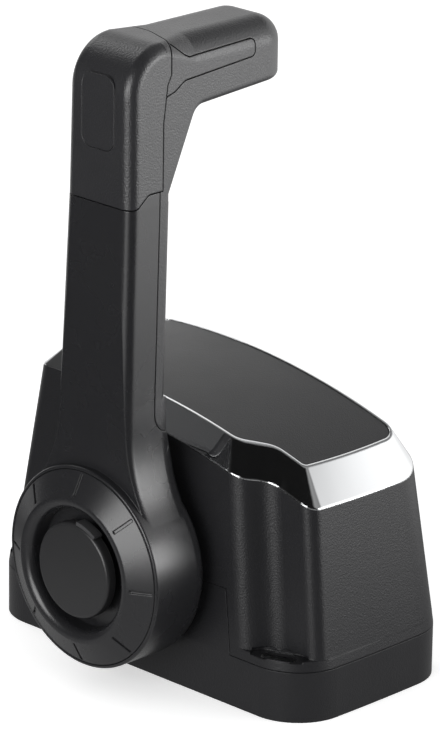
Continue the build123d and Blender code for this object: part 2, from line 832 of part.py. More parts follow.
def make_elbow_cover(walls):
    """Cap over the elbow, with the recess for the blank plug."""
    return (walls & elbow_zone()) - blank_recess()


def make_grip_strip(walls):
    """Strip let into the aft face of the grip."""
    return (walls & strip_zone()) - elbow_zone(seam)


def make_grip_casing(walls):
    """Rear strip of the arm, gusset and grip in one moulding."""
    return walls - shell_zone(seam) - elbow_zone(seam) - strip_zone(seam)


def make_elbow_blank_plug():
    """Blank plate let into the elbow's port face."""
    middle = Pos(core_mid_y, plug_mid_z)
    return side_prism(middle * RectangleRounded(plug_w, plug_h, plug_corner_r - plug_gap),
                      arm_front, plug_floor())


def make_lever_core():
    """Metal arm inside the covers, clamped on the shaft, with a branch into the grip."""
    rear = core_rear()
    front = rear - core_t
    aft = core_mid_y - core_half_w
    fore = core_mid_y + core_half_w
    core = box(front, rear, aft, fore, hub_z, core_top)
    core += box(front, core_grip_end, aft, fore, core_grip_low, core_top)
    core += rod_x(fore - core_mid_y + core_boss_r / 2, front, rear)
    core += rod_x(core_boss_r, front, hub_rear)
    corner = core.edges().filter_by(Axis.Y).sort_by_distance((front, core_mid_y, core_top))[0]
    core = fillet(corner, elbow_r - 3 * shell_t)
    core -= rod_x(nut_r + 1, front - 1, nut_face)
    core -= rod_x(shaft_r + fit_gap, front - 1, hub_rear + 1)
    return drill(core, lever_screws(fit_gap))


def make_hub_back_plate():
    """Disc that closes the back of the drum."""
    plate = tube_x(back_plate_r, core_boss_r + clear, hub_rear - shell_t, hub_rear)
    return drill(plate, lever_screws(fit_gap))


def turned(points, corners=()):
    """A solid turned about the lever's axis from (x, radius) points, some of them rounded."""
    outline = make_face(Polyline(*[(x, hub_z + r) for x, r in points], close=True))
    outline = round_corners(outline, [(x, hub_z + r, rounding) for x, r, rounding in corners])
    return revolve(Plane.XZ * outline, Axis((0, 0, hub_z), (1, 0, 0)))


def bevel_x(r):
    """The trim ring's sloping face at a radius."""
    return hub_front - ring_proud * (ring_r - r) / (ring_r - rim_outer_r)


def make_hub_trim_ring():
    """Bevelled ring on the hub's face, with a tick every eighth of a turn."""
    seat = hub_front + ring_seat_depth
    face = hub_front - ring_proud
    ring = turned([(seat, rim_inner_r), (seat, ring_r), (hub_front, ring_r), (face, rim_outer_r),
                   (face, rim_inner_r)],
                  [(face, rim_outer_r, rim_crest_r), (face, rim_inner_r, rim_roll_r)])
    tick = front_prism(make_face(Polyline(
        (bevel_x(tick_inner_r) - 1, hub_z + tick_inner_r),
        (bevel_x(tick_inner_r) + tick_depth, hub_z + tick_inner_r),
        (bevel_x(tick_outer_r) + tick_depth, hub_z + tick_outer_r),
        (bevel_x(tick_outer_r) - 1, hub_z + tick_outer_r), close=True)), -tick_w / 2, tick_w / 2)
    return drill(ring, [about_hub(tick, 360 / tick_count * k) for k in range(tick_count)])


def button_face():
    """The button's front face."""
    return hub_front - button_proud


def make_hub_button():
    """Cup-shaped push button with a guide stem."""
    face = button_face()
    inner = face + button_wall
    button = rod_x(button_r, face, face + button_t)
    button = fillet(button.edges().filter_by(lambda e: abs((e @ 0.5).X - face) < 0.01), button_edge_r)
    button -= rod_x(button_well_r, inner, face + button_t + 1)
    stem_end = nut_face - nut_t - button_travel - clear
    return button + rod_x(stem_r, inner - fit_gap, stem_end)


def make_button_tab():
    """Small pointer on the button's rim."""
    face = button_face()
    ring = tube_x(button_r + tab_t, button_r, face, face + button_t)
    reach = 3 * button_r
    half = radians(tab_arc / 2)
    wedge = side_prism(make_face(Polyline(
        (0, 0), (reach * cos(half), reach * sin(half)), (reach * cos(half), -reach * sin(half)),
        close=True)), face - 1, face + button_t + 1)
    return ring & Pos(0, 0, hub_z) * Rot(tab_angle, 0, 0) * wedge


def make_button_sleeve():
    """Guide sleeve for the button's stem, in the drum's front wall."""
    return tube_x(stem_r + running_gap + sleeve_t, stem_r + running_gap,
                  button_face() + button_wall + button_travel + clear,
                  hub_front + ring_seat_depth + shell_t)


def coil(radius, wire, turns, length):
    """An open coil spring along +Z, standing on the origin plane."""
    pitch = (length - wire) / turns
    path = Pos(0, 0, wire / 2) * Helix(pitch, length - wire, radius)
    start = Plane(path @ 0, z_dir=path % 0)
    return sweep(start * Rectangle(wire * 0.9, wire * 0.9), path)


def make_button_spring():
    """Return spring under the button."""
    inner = button_face() + button_wall
    length = hub_front + ring_seat_depth - 2 * fit_gap - inner
    spring = coil(button_spring_r, button_spring_wire, button_spring_turns, length)
    return Pos(inner, 0, hub_z) * Rot(0, 90, 0) * spring


def make_clutch_rod():
    """Rod from the button through the hollow shaft, which frees the gear for warming up."""
    return rod_x(rod_r, nut_face - nut_t - button_travel - clear, shaft_inner_end + 1)


def clip(x, groove_r, y=0.0, z=hub_z):
    """An open retaining ring in a groove."""
    ring = tube_x(groove_r + clip_w, groove_r + fit_gap, x, x + clip_t, y, z)
    return ring - box(x - 1, x + clip_t + 1, y - groove_r * 0.7, y + groove_r * 0.7, z - 2 * groove_r - 5, z)


def shaft_clip_x():
    """Where the shaft's retaining ring sits."""
    return plate_x + 2 * plate_t + plate_gap + friction_block_t + fit_gap


def pivot_clip_x():
    """Where the pivots' retaining rings sit."""
    return plate_x + 2 * plate_t + plate_gap + fit_gap


def make_control_shaft():
    """Hollow shaft from the lever to the friction block."""
    shaft = rod_x(shaft_r, nut_face, shaft_inner_end) + rod_x(shaft_thread_r, nut_face - nut_t, nut_face)
    shaft -= rod_x(rod_r + running_gap, nut_face - nut_t - 1, shaft_inner_end + 1)
    x = shaft_clip_x()
    return shaft - tube_x(shaft_r + 1, shaft_r - clip_groove, x - fit_gap, x + clip_t + fit_gap)


def make_shaft_circlip():
    """Retaining ring on the shaft's inner end."""
    return clip(shaft_clip_x(), shaft_r - clip_groove)


def make_hub_nut():
    """Hexagon nut that clamps the core on the shaft."""
    nut = side_prism(Pos(*hub_axis) * RegularPolygon(nut_r, 6), nut_face - nut_t, nut_face)
    return nut - rod_x(shaft_thread_r + fit_gap, nut_face - nut_t - 1, nut_face + 1)


def make_thrust_washer():
    """Washer between the lever and the outer bush."""
    return tube_x(core_boss_r, shaft_r + clear, hub_rear, hub_rear + washer_t)


def bush(x0, x1):
    """A plain bearing on the shaft."""
    return tube_x(shaft_r + running_gap + bush_t, shaft_r + running_gap, x0, x1)


def make_outer_bush():
    """Bearing in the boss that comes through the housing's wall."""
    return bush(hub_rear + washer_t, plate_x + plate_t)


def make_inner_bush():
    """Bearing in the starboard plate."""
    return bush(starboard_x(), starboard_x() + plate_t)


def starboard_x():
    """The starboard plate's inner face."""
    return plate_x + plate_t + plate_gap


def post_places():
    """Places (y, z) of the posts between the plates."""
    return [(-post_side[0], post_side[1]), (post_side[0], post_side[1]), (0.0, post_low_z)]


def pivot_y():
    """Distance from the shaft to each sector's pivot."""
    return gear_module * (drive_teeth + sector_full_teeth) / 2


def port_screws(gap=0.0):
    """Screws through the port plate into the posts, the detent block and the switch, or their holes."""
    places = post_places()
    places += [(-detent_screw_y, (detent_block_low + detent_block_high) / 2),
               (detent_screw_y, (detent_block_low + detent_block_high) / 2), (0.0, switch_screw_z)]
    return [countersunk(plate_x, 1, 3 * plate_t, y, z, gap) for y, z in places]


def starboard_screws(gap=0.0):
    """Screws through the starboard plate into the posts, and through the friction block into it."""
    outer = starboard_x() + plate_t
    screws = [countersunk(outer, -1, 3 * plate_t, y, z, gap) for y, z in post_places()]
    for y, z in friction_screw_places:
        screws.append(countersunk(outer + friction_block_t, -1, friction_block_t + plate_t, y, z, gap))
    return screws


def foot_screws(gap=0.0):
    """Screws through the port plate's feet into the base, or their holes."""
    screws = []
    top = plate_low + plate_t
    for y in plate_foot_places():
        screws.append(rod_z(screw_r + gap, shell_t + 1 - gap, top, foot_screw_x, y))
        if not gap:
            screws[-1] += rod_z(screw_head_r, top, top + screw_head_t, foot_screw_x, y)
    return screws


def frame_plate(x):
    """One side plate of the mechanism's frame, without its holes for screws."""
    outline = Pos(0, (plate_low + plate_high) / 2) * RectangleRounded(
        2 * plate_half, plate_high - plate_low, plate_corner_r)
    plate = side_prism(outline, x, x + plate_t)
    plate -= rod_x(shaft_r + running_gap + bush_t, x - 1, x + plate_t + 1)
    for y in (-pivot_y(), pivot_y()):
        plate -= rod_x(pivot_r + fit_gap, x - 1, x + plate_t + 1, y)
    return plate


def make_port_plate():
    """Plate that carries the lever's bearing boss and stands on two feet on the base."""
    plate = frame_plate(plate_x)
    for y in plate_foot_places():
        plate += box(plate_x, foot_x, y - foot_w / 2, y + foot_w / 2, plate_low, plate_low + plate_t)
    boss_end = hub_rear + washer_t + clear
    plate += tube_x(shaft_boss_r(), shaft_r + running_gap + bush_t, boss_end, plate_x + plate_t)
    return drill(plate, port_screws(fit_gap) + foot_screws(fit_gap))


def make_starboard_plate():
    """Second plate of the frame, held off the first on posts."""
    return drill(frame_plate(starboard_x()), starboard_screws(fit_gap))


def make_spacer_posts():
    """Three round posts between the plates."""
    holes = port_screws(fit_gap) + starboard_screws(fit_gap)
    posts = []
    for y, z in post_places():
        posts.append(drill(rod_x(post_r, plate_x + plate_t, starboard_x(), y, z), holes))
    return posts


def pivot_pin(y):
    """A headed pivot across both plates, with a groove for its retaining ring."""
    x = pivot_clip_x()
    end = x + 2 * clip_t
    pin = rod_x(pivot_r, plate_x, end, y) + rod_x(pivot_head_r, plate_x - pivot_head_t, plate_x, y)
    return pin - tube_x(pivot_r + 1, pivot_r - clip_groove, x - fit_gap, x + clip_t + fit_gap, y)


def make_pivot_circlips():
    """Retaining rings on both pivots."""
    return [clip(pivot_clip_x(), pivot_r - clip_groove, y) for y in (-pivot_y(), pivot_y())]


def tooth(teeth):
    """One involute tooth of a gear with this many teeth, pointing along its first axis."""
    pitch_r = gear_module * teeth / 2
    pressure = radians(pressure_angle)
    base_r = pitch_r * cos(pressure)
    root_r = pitch_r - dedendum * gear_module
    tip_r = pitch_r + addendum * gear_module
    half_pitch = (pi * gear_module - backlash) / 4 / pitch_r
    start_r = max(base_r, root_r)
    upper = []
    for step in range(6):
        r = start_r + (tip_r - start_r) * step / 5
        roll = acos(base_r / r)
        angle = half_pitch + tan(pressure) - pressure - tan(roll) + roll
        upper.append((r * cos(angle), r * sin(angle)))
    foot = half_pitch + tan(pressure) - pressure
    upper.insert(0, ((root_r - 0.3) * cos(foot), (root_r - 0.3) * sin(foot)))
    lower = [(a, -b) for a, b in reversed(upper)]
    return make_face(Polyline(*upper, *lower, close=True))


def make_drive_gear():
    """Full gear on the shaft, with hubs that keep it and the detent disc in place."""
    outline = Circle(gear_module * (drive_teeth / 2 - dedendum))
    for k in range(drive_teeth):
        outline += Rot(0, 0, 360 / drive_teeth * k) * tooth(drive_teeth)
    gear = side_prism(Pos(*hub_axis) * outline, gear_x, gear_x + gear_t)
    gear += rod_x(key_hub_r, disc_x + disc_t, gear_x)
    gear += rod_x(key_hub_r, gear_x + gear_t, starboard_x() - clear)
    return gear - rod_x(shaft_r + fit_gap, disc_x, starboard_x())


def sector(side):
    """Geared sector and cable arm on its pivot; side is +1 forward of the shaft, -1 aft."""
    root_r = gear_module * (sector_full_teeth / 2 - dedendum)
    half = radians(sector_half_angle)
    reach = 2 * root_r
    fan = Circle(root_r) & make_face(Polyline(
        (0, 0), (reach * cos(half), reach * sin(half)), (reach * cos(half), -reach * sin(half)),
        close=True))
    for k in range(sector_teeth):
        fan += Rot(0, 0, 360 / sector_full_teeth * (k - (sector_teeth - 1) / 2)) * tooth(sector_full_teeth)
    facing = 180 if side > 0 else 0
    outline = Rot(0, 0, facing) * fan + Circle(sector_hub_r)
    outline += Pos(0, -arm_len / 2) * Rectangle(arm_w, arm_len) + Pos(0, -arm_len) * Circle(arm_w / 2)
    y = side * pivot_y()
    body = side_prism(Pos(y, hub_z) * outline, gear_x, gear_x + gear_t)
    body += rod_x(sector_hub_r, plate_x + plate_t + clear, starboard_x() - clear, y)
    body -= rod_x(pivot_r + running_gap, plate_x, starboard_x() + 1, y)
    return body - rod_x(cable_pin_r + fit_gap, gear_x - 1, gear_x + gear_t + 1, y, hub_z - arm_len)


def cable_pin(side):
    """Pin at the end of a sector's arm, for the control cable's eye."""
    return rod_x(cable_pin_r, gear_x, gear_x + gear_t + cable_pin_len, side * pivot_y(), hub_z - arm_len)


def make_detent_disc():
    """Notched disc on the shaft that holds neutral and both gears."""
    notch_r = ball_r + fit_gap
    disc = rod_x(disc_r, disc_x, disc_x + disc_t) + rod_x(key_hub_r, plate_x + plate_t + clear, disc_x)
    disc -= rod_x(shaft_r + fit_gap, plate_x, disc_x + disc_t + 1)
    notch = rod_x(notch_r, disc_x - 1, disc_x + disc_t + 1, 0, hub_z + disc_r + notch_r - detent_depth)
    return drill(disc, [about_hub(notch, angle) for angle in (-detent_step, 0, detent_step)])


def detent_ball_x():
    """Fore-and-aft plane of the detent ball, on the disc's middle."""
    return disc_x + disc_t / 2


def make_detent_block():
    """Block that guides the detent ball and its spring."""
    x = plate_x + plate_t
    block = box(x, x + detent_block_t, -detent_block_half, detent_block_half,
                detent_block_low, detent_block_high)
    block -= rod_z(ball_r + running_gap, detent_block_low - 1, detent_block_high + 1, detent_ball_x(), 0)
    return drill(block, port_screws(fit_gap))


def ball_z():
    """Height of the detent ball's centre, just clear of the disc's rim."""
    return hub_z + disc_r + clear + ball_r


def make_detent_ball():
    """Steel ball over the neutral notch."""
    return Pos(detent_ball_x(), 0, ball_z()) * Sphere(ball_r)


def make_detent_plug():
    """Plug that closes the ball's bore over the spring."""
    return rod_z(ball_r + fit_gap / 2, detent_block_high - detent_plug_t, detent_block_high,
                 detent_ball_x(), 0)


def make_detent_spring():
    """Coil spring between the ball and the plug."""
    low = ball_z() + ball_r * 0.75
    spring = coil(detent_spring_r, detent_spring_wire, detent_spring_turns,
                  detent_block_high - detent_plug_t - low)
    return Pos(detent_ball_x(), 0, low) * spring


def make_neutral_switch():
    """Start-in-neutral switch below the detent disc."""
    x = plate_x + plate_t
    body = box(x, x + detent_block_t, -switch_half, switch_half, switch_low, switch_high)
    body -= rod_z(plunger_r + running_gap, switch_high - 4 * plunger_r, switch_high + 1, detent_ball_x(), 0)
    return drill(body, port_screws(fit_gap))


def make_switch_plunger():
    """Plunger of the neutral switch, just clear of the disc's rim."""
    top = hub_z - disc_r - clear
    return rod_z(plunger_r, switch_high - 4 * plunger_r + plunger_travel + clear, top, detent_ball_x(), 0)


def make_friction_block():
    """Block on the starboard plate in which the throttle's friction is set."""
    x = starboard_x() + plate_t
    block = box(x, x + friction_block_t, -friction_block_half, friction_block_half,
                friction_block_low, friction_block_high)
    block -= rod_x(shaft_r + clear, x - 1, x + friction_block_t + 1)
    block -= rod_z(friction_r + running_gap, hub_z, friction_block_high + 1, x + friction_block_t / 2, 0)
    return drill(block, starboard_screws(fit_gap))


def make_friction_pad():
    """Pad that the friction screw presses on the shaft."""
    low = hub_z + shaft_r + fit_gap
    return rod_z(friction_r, low, low + friction_pad_t, friction_x(), 0)


def friction_x():
    """Fore-and-aft plane of the friction pad and its screw."""
    return starboard_x() + plate_t + friction_block_t / 2


def make_friction_screw():
    """Screw that sets the throttle's friction."""
    low = hub_z + shaft_r + fit_gap + friction_pad_t + fit_gap
    screw = rod_z(friction_r, low, friction_block_high + fit_gap, friction_x(), 0)
    head = rod_z(friction_head_r, friction_block_high + fit_gap, friction_block_high + friction_head_t,
                 friction_x(), 0)
    slot = box(friction_x() - friction_head_r, friction_x() + friction_head_r, -0.6, 0.6,
               friction_block_high + friction_head_t / 2, friction_block_high + friction_head_t + 1)
    return screw + head - slot


def make_all():
    """Every part by its node name; a list is a group of separate solids."""
    walls = lever_walls()
    return {
        "base_skirt": make_base_skirt(),
        "base_gasket": make_base_gasket(),
        "main_cover": make_main_cover(),
        "cover_screws": make_cover_screws(),
        "bezel_trim": make_bezel_trim(),
        "top_panel": make_top_panel(),
        "port_plate": make_port_plate(),
        "starboard_plate": make_starboard_plate(),
        "spacer_posts": make_spacer_posts(),
        "plate_screws": port_screws() + starboard_screws() + foot_screws(),
        "outer_bush": make_outer_bush(),
        "inner_bush": make_inner_bush(),
        "shift_pivot_pin": pivot_pin(-pivot_y()),
        "throttle_pivot_pin": pivot_pin(pivot_y()),
        "pivot_circlips": make_pivot_circlips(),
        "detent_block": make_detent_block(),
        "detent_ball": make_detent_ball(),
        "detent_spring": make_detent_spring(),
        "detent_plug": make_detent_plug(),
        "neutral_switch": make_neutral_switch(),
        "switch_plunger": make_switch_plunger(),
        "friction_block": make_friction_block(),
        "friction_pad": make_friction_pad(),
        "friction_screw": make_friction_screw(),
        "lever_outer_shell": make_lever_outer_shell(walls),
        "grip_casing": make_grip_casing(walls),
        "elbow_cover": make_elbow_cover(walls),
        "grip_strip": make_grip_strip(walls),
        "elbow_blank_plug": make_elbow_blank_plug(),
        "lever_core": make_lever_core(),
        "lever_screws": lever_screws(),
        "hub_back_plate": make_hub_back_plate(),
        "hub_trim_ring": make_hub_trim_ring(),
        "button_sleeve": make_button_sleeve(),
        "button_spring": make_button_spring(),
        "hub_button": make_hub_button(),
        "button_tab": make_button_tab(),
        "clutch_rod": make_clutch_rod(),
        "control_shaft": make_control_shaft(),
        "shaft_circlip": make_shaft_circlip(),
        "hub_nut": make_hub_nut(),
        "thrust_washer": make_thrust_washer(),
        "drive_gear": make_drive_gear(),
        "detent_disc": make_detent_disc(),
        "shift_sector": sector(-1),
        "shift_cable_pin": cable_pin(-1),
        "throttle_sector": sector(1),
        "throttle_cable_pin": cable_pin(1),
    }


if __name__ == "__main__":
    os.makedirs("parts", exist_ok=True)
    for node, made in make_all().items():
        solids = made if isinstance(made, list) else [made]
        shape = Compound(children=[solid for item in solids for solid in item.solids()])
        export_step(shape, f"parts/{node}.step")
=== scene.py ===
import json
import math

import bpy
from mathutils import Matrix, Vector


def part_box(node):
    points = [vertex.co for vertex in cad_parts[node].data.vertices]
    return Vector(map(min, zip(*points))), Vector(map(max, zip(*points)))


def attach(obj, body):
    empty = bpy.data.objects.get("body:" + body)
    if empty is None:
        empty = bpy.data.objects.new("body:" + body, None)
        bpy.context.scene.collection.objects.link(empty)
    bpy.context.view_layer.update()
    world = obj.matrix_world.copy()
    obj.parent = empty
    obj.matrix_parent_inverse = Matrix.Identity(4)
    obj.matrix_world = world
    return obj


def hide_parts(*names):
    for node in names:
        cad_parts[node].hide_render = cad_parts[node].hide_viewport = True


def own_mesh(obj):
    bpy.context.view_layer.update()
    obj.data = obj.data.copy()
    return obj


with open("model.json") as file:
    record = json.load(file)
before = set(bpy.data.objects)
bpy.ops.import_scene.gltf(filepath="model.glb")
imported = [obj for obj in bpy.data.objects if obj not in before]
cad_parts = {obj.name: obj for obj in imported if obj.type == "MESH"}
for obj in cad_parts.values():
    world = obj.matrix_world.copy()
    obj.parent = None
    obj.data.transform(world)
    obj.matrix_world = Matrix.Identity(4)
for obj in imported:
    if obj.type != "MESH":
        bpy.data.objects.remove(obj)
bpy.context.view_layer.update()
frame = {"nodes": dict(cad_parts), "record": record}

# The camera that the photograph was taken with: its place in metres, the directions of its right, up and
# back, its lens and sensor in millimetres, and how far it sees in metres
CAMERA_PLACE = (-1.28039, -1.24499, 0.74170)
CAMERA_RIGHT = (0.70055, -0.71348, 0.01324)
CAMERA_UP = (0.22682, 0.24022, 0.94385)
CAMERA_BACK = (-0.67660, -0.65821, 0.33012)
CAMERA_LENS = 230.6
CAMERA_SENSOR = 36.0
CAMERA_REACH = 20

# What polished faces mirror in the room: its brightness by azimuth, in degrees from starboard towards
# fore, and by height, from the horizon at 0 to straight up at 1
ROOM_ROUND = (
    (-180, 0.03), (-84, 0.03), (-66, 1.2), (-12, 1.15),
    (12, 0.8), (62, 0.85), (88, 0.05), (180, 0.03),
)
ROOM_UPWARD = ((0.05, 1.15), (0.53, 1.15), (0.66, 0.2), (1.0, 0.3))

# The room's plain light on everything else
ROOM_LEVEL = 0.62

# What polished faces mirror on the floor, a painted reflection that the floor glows with for glossy rays
# only: its brightness by azimuth, and by distance in metres, with a dim part near the object that is the
# same all round, painted shade in place of the floor's contact shadow
PAINTED_FLOOR_REFLECTION = (
    (-180, 1.5), (-162, 1.2), (-142, 0.02), (-92, 0.02), (-72, 1.8),
    (-20, 1.8), (0, 0.9), (90, 0.9), (115, 0.03), (160, 0.05),
)
PAINTED_FLOOR_SHADE_NEAR = ((0.16, 0.32), (0.27, 0.0))
PAINTED_FLOOR_SHADE_FAR = ((0.20, 0.12), (0.55, 1.0))

# The floor itself, and how much whiter the camera sees it, except in the dark under the base
FLOOR_SIZE = 8
FLOOR_COLOR = (0.9, 0.9, 0.9)
FLOOR_LIFT = 0.5
UNDER_BASE = (0.036, 0.078)

# Lamps: place, target, width and height, and power in watts
LAMPS = {
    "softbox_aft": ((0.66, -1.24, 0.31), (0, 0, 0.16), (0.85, 0.56), 6.5),
    "softbox_port": ((-1.4, -0.14, 0.42), (0, 0, 0.12), (1.0, 0.8), 11.5),
    "softbox_top": ((0.10, 1.00, 1.05), (0, 0, 0.1), (0.5, 0.5), 1.6),
}

# The button's return spring: its turns, the wire's radius, and how finely it is drawn along a turn and
# round the wire
SPRING_TURNS = 3.5
SPRING_WIRE_R = 0.00036
SPRING_TURN_POINTS = 48
SPRING_WIRE_STEPS = 3

# Plastics, rubber and foam: colour, roughness, scale of the grain, its depth in metres, and index of
# refraction
PLASTICS = {
    "housing_plastic": ((0.0155, 0.0155, 0.017), 0.35, 1500, 0.00011, 1.40),
    "lever_plastic": ((0.0145, 0.0145, 0.016), 0.27, 1900, 0.00003, 1.64),
    "grip_plastic": ((0.020, 0.020, 0.022), 0.32, 1300, 0.00015, 1.66),
    "panel_soft": ((0.021, 0.021, 0.0225), 0.40, 1700, 0.00010, 1.49),
    "button_plastic": ((0.020, 0.020, 0.021), 0.30, 2200, 0.00002, 1.55),
    "tab_grey": ((0.045, 0.045, 0.047), 0.40, 1800, 0.00003, 1.49),
    "gasket_foam": ((0.02, 0.02, 0.02), 0.90, 900, 0.00030, 1.49),
    "gear_plastic": ((0.05, 0.05, 0.055), 0.45, 1200, 0.00004, 1.49),
    "friction_lining": ((0.02, 0.02, 0.02), 0.85, 700, 0.00020, 1.49),
}
PLASTIC_EDGE_ROUND = 0.0006
GLOSS_SCALE = 60
GLOSS_SWING = 0.04

# Metals: colour, roughness, scale of the drawn lines, and their depth in metres, 0 for a smooth metal
METALS = {
    "chrome_trim": ((0.90, 0.91, 0.92), 0.04, 90, 0),
    "bush_bronze": ((0.45, 0.30, 0.14), 0.38, 90, 0),
    "steel": ((0.55, 0.55, 0.56), 0.30, 220, 0.00001),
    "plate_steel": ((0.50, 0.50, 0.52), 0.36, 160, 0.00002),
    "cast_core": ((0.60, 0.61, 0.62), 0.50, 300, 0.00005),
}
METAL_EDGE_ROUND = 0.0009
METAL_GLOSS_SHARE = 0.15
DRAWN_STRETCH = 14

EDGE_SAMPLES = 6


def new_material(name):
    """A material with its node tree and its shader."""
    material = bpy.data.materials.new(name)
    material.use_nodes = True
    tree = material.node_tree
    return material, tree, tree.nodes["Principled BSDF"]


def noise_level(tree, place, scale):
    """The strength of a noise at a place."""
    noise = tree.nodes.new("ShaderNodeTexNoise")
    noise.inputs["Scale"].default_value = scale
    tree.links.new(place, noise.inputs["Vector"])
    return noise.outputs["Fac"]


def set_gloss(tree, shader, level, smoothest, roughest):
    """Let the roughness follow a noise."""
    spread = tree.nodes.new("ShaderNodeMapRange")
    spread.inputs["To Min"].default_value = smoothest
    spread.inputs["To Max"].default_value = roughest
    tree.links.new(level, spread.inputs["Value"])
    tree.links.new(spread.outputs["Result"], shader.inputs["Roughness"])


def rounded_normal(tree, radius):
    """A normal that is rounded over the edges."""
    edge = tree.nodes.new("ShaderNodeBevel")
    edge.samples = EDGE_SAMPLES
    edge.inputs["Radius"].default_value = radius
    return edge.outputs["Normal"]


def bumped_normal(tree, level, depth, edges=None):
    """A normal that follows a noise, on top of rounded edges where they are given."""
    bump = tree.nodes.new("ShaderNodeBump")
    bump.inputs["Distance"].default_value = depth
    tree.links.new(level, bump.inputs["Height"])
    if edges is not None:
        tree.links.new(edges, bump.inputs["Normal"])
    return bump.outputs["Normal"]


def plastic(name, color, roughness, grain_scale, grain_depth, ior):
    """A moulded material with a fine grain and a slightly uneven gloss."""
    material, tree, shader = new_material(name)
    shader.inputs["Base Color"].default_value = (*color, 1)
    shader.inputs["IOR"].default_value = ior
    place = tree.nodes.new("ShaderNodeTexCoord").outputs["Object"]
    grain = noise_level(tree, place, grain_scale)
    edges = rounded_normal(tree, PLASTIC_EDGE_ROUND)
    tree.links.new(bumped_normal(tree, grain, grain_depth, edges), shader.inputs["Normal"])
    gloss = noise_level(tree, place, GLOSS_SCALE)
    set_gloss(tree, shader, gloss, roughness - GLOSS_SWING, roughness + GLOSS_SWING)
    return material


def metal(name, color, roughness, line_scale, line_depth):
    """A metal, smooth or with fine drawn lines."""
    material, tree, shader = new_material(name)
    shader.inputs["Base Color"].default_value = (*color, 1)
    shader.inputs["Metallic"].default_value = 1.0
    stretch = tree.nodes.new("ShaderNodeMapping")
    stretch.inputs["Scale"].default_value = (1, 1, DRAWN_STRETCH)
    place = tree.nodes.new("ShaderNodeTexCoord").outputs["Object"]
    tree.links.new(place, stretch.inputs["Vector"])
    lines = noise_level(tree, stretch.outputs["Vector"], line_scale)
    swing = roughness * METAL_GLOSS_SHARE
    set_gloss(tree, shader, lines, roughness - swing, roughness + swing)
    if line_depth:
        normal = bumped_normal(tree, lines, line_depth)
    else:
        normal = rounded_normal(tree, METAL_EDGE_ROUND)
    tree.links.new(normal, shader.inputs["Normal"])
    return material


def make_materials():
    """Every material by its slot."""
    materials = {name: plastic(name, *look) for name, look in PLASTICS.items()}
    materials.update({name: metal(name, *look) for name, look in METALS.items()})
    return materials


def dress_nodes(materials):
    """Give every solid the finish of its material slot."""
    slots = {part["node"]: part["material_slot"] for part in frame["record"]["subparts"]}
    for name, node in frame["nodes"].items():
        node.data.materials.clear()
        node.data.materials.append(materials[slots[name]])


def wound_wire(name, low, high):
    """A coil of round wire along X that fills the box between two corners."""
    middle = (low + high) / 2
    coil_r = (high.z - low.z) / 2 - SPRING_WIRE_R
    start, end = low.x + SPRING_WIRE_R, high.x - SPRING_WIRE_R
    curve = bpy.data.curves.new(name, "CURVE")
    curve.dimensions = "3D"
    curve.bevel_depth = SPRING_WIRE_R
    curve.bevel_resolution = SPRING_WIRE_STEPS
    curve.use_fill_caps = True
    spline = curve.splines.new("POLY")
    steps = int(SPRING_TURNS * SPRING_TURN_POINTS)
    spline.points.add(steps)
    for index, point in enumerate(spline.points):
        share = index / steps
        angle = 2 * math.pi * SPRING_TURNS * share
        y = middle.y + coil_r * math.sin(angle)
        z = middle.z + coil_r * math.cos(angle)
        point.co = (start + (end - start) * share, y, z, 1)
    line = bpy.data.objects.new(name + "_line", curve)
    mesh = bpy.data.meshes.new_from_object(line)
    bpy.data.objects.remove(line)
    for face in mesh.polygons:
        face.use_smooth = True
    return mesh


def wind_button_spring(wire_material):
    """The button's return spring, a coil that fills the spring part's box and moves with the lever."""
    low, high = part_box("button_spring")
    mesh = wound_wire("return_spring", low, high)
    mesh.materials.append(wire_material)
    spring = bpy.data.objects.new("return_spring", mesh)
    bpy.context.scene.collection.objects.link(spring)
    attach(spring, "lever")
    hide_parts("button_spring")
    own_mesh(spring)


def set_camera():
    """The photograph's own viewpoint."""
    data = bpy.data.cameras.new("photo_camera")
    data.sensor_fit = "VERTICAL"
    data.sensor_height = CAMERA_SENSOR
    data.lens = CAMERA_LENS
    data.clip_end = CAMERA_REACH
    camera = bpy.data.objects.new("photo_camera", data)
    axes = Matrix((CAMERA_RIGHT, CAMERA_UP, CAMERA_BACK)).transposed()
    camera.matrix_world = Matrix.Translation(CAMERA_PLACE) @ axes.to_4x4()
    bpy.context.scene.collection.objects.link(camera)
    bpy.context.scene.camera = camera


def add_lamp(name, place, target, size, power):
    """A soft rectangular lamp that points at a place on the object."""
    data = bpy.data.lights.new(name, "AREA")
    data.shape = "RECTANGLE"
    data.size, data.size_y = size
    data.energy = power
    lamp = bpy.data.objects.new(name, data)
    lamp.location = place
    lamp.rotation_euler = (Vector(target) - Vector(place)).to_track_quat("-Z", "Y").to_euler()
    bpy.context.scene.collection.objects.link(lamp)


def feed(tree, socket, value):
    """Give a socket a plain number, or the result of another socket."""
    if isinstance(value, (int, float)):
        socket.default_value = value
    else:
        tree.links.new(value, socket)


def math_node(tree, operation, *values):
    """The result of one operation on sockets and plain numbers."""
    node = tree.nodes.new("ShaderNodeMath")
    node.operation = operation
    for socket, value in zip(node.inputs, values):
        feed(tree, socket, value)
    return node.outputs["Value"]


def level_ramp(tree, source, low, high, stops):
    """A brightness that follows a value, from low to high, through the given stops."""
    share = tree.nodes.new("ShaderNodeMapRange")
    share.inputs["From Min"].default_value = low
    share.inputs["From Max"].default_value = high
    tree.links.new(source, share.inputs["Value"])
    ramp = tree.nodes.new("ShaderNodeValToRGB")
    while len(ramp.color_ramp.elements) < len(stops):
        ramp.color_ramp.elements.new(1.0)
    for element, (value, level) in zip(ramp.color_ramp.elements, stops):
        element.position = (value - low) / (high - low)
        element.color = (level, level, level, 1)
    tree.links.new(share.outputs["Result"], ramp.inputs["Fac"])
    return ramp.outputs["Color"]


def level_round(tree, x, y, stops):
    """A brightness that follows the azimuth of a direction or place."""
    azimuth = math_node(tree, "DEGREES", math_node(tree, "ARCTAN2", y, x))
    return level_ramp(tree, azimuth, -180, 180, stops)


